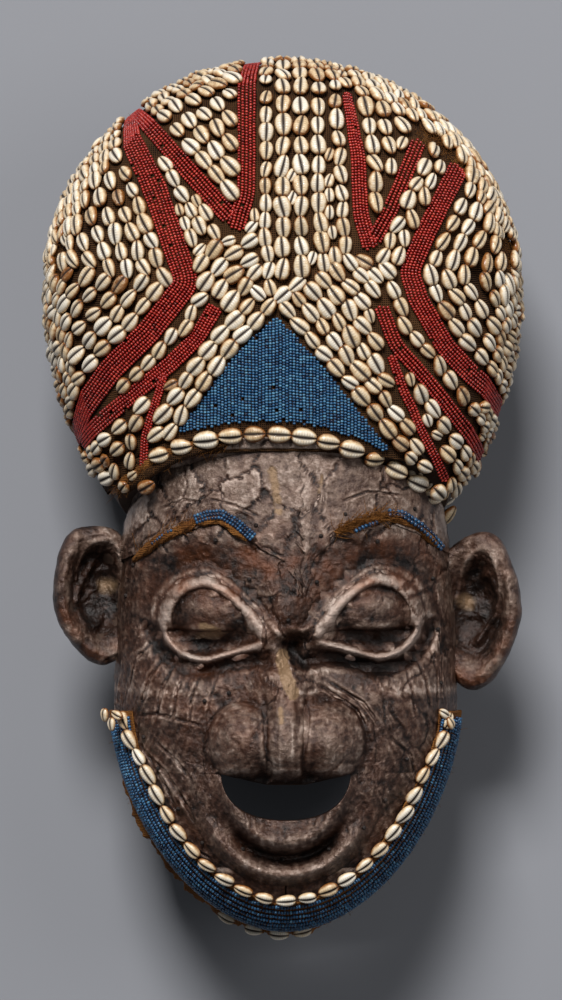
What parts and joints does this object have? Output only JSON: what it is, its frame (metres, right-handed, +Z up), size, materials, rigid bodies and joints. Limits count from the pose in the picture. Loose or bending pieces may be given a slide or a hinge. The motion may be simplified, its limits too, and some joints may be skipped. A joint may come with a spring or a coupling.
{
  "type": "helmet mask",
  "caption": "Carved wooden helmet mask with a face sheathed in copper, a round crown covered in cloth, cowries and glass beads, and a beaded beard.",
  "frame": {"origin": "on the ground under the middle of the mask's outline, where it lies on its back", "axes": "+X across the face to its left ear as seen from the front on the right, +Y from the chin to the crown, +Z up out of the face"},
  "size_m": [0.364, 0.666, 0.2476],
  "materials": {
    "carved_wood": "dark, smoked",
    "copper": "dark patinated copper sheet",
    "raffia_cloth": "woven, worn",
    "red_beads": "opaque glass beads",
    "blue_beads": "opaque glass beads",
    "cowrie_shell": "glossy shell"
  },
  "bodies": {
    "root": {"carved_head": "carved_wood", "forehead_sheet": "copper", "left_brow": "blue_beads", "right_brow": "blue_beads", "crown_cloth": "raffia_cloth", "red_beads_left_v": "red_beads", "red_beads_left_zigzag": "red_beads", "red_beads_left_loop": "red_beads", "red_beads_right_v": "red_beads", "red_beads_right_zigzag": "red_beads", "red_beads_right_loop": "red_beads", "blue_bead_triangle": "blue_beads", "cowries_left_v": "cowrie_shell", "cowries_right_v": "cowrie_shell", "cowries_left_field": "cowrie_shell", "cowries_right_field": "cowrie_shell", "cowries_lower_left": "cowrie_shell", "cowries_lower_right": "cowrie_shell", "cowries_centre": "cowrie_shell", "forehead_cowrie_row": "cowrie_shell", "beard_cloth": "raffia_cloth", "beard_beads": "blue_beads", "beard_cowrie_row": "cowrie_shell", "chin_cowrie_row": "cowrie_shell"}
  },
  "joints": []
}
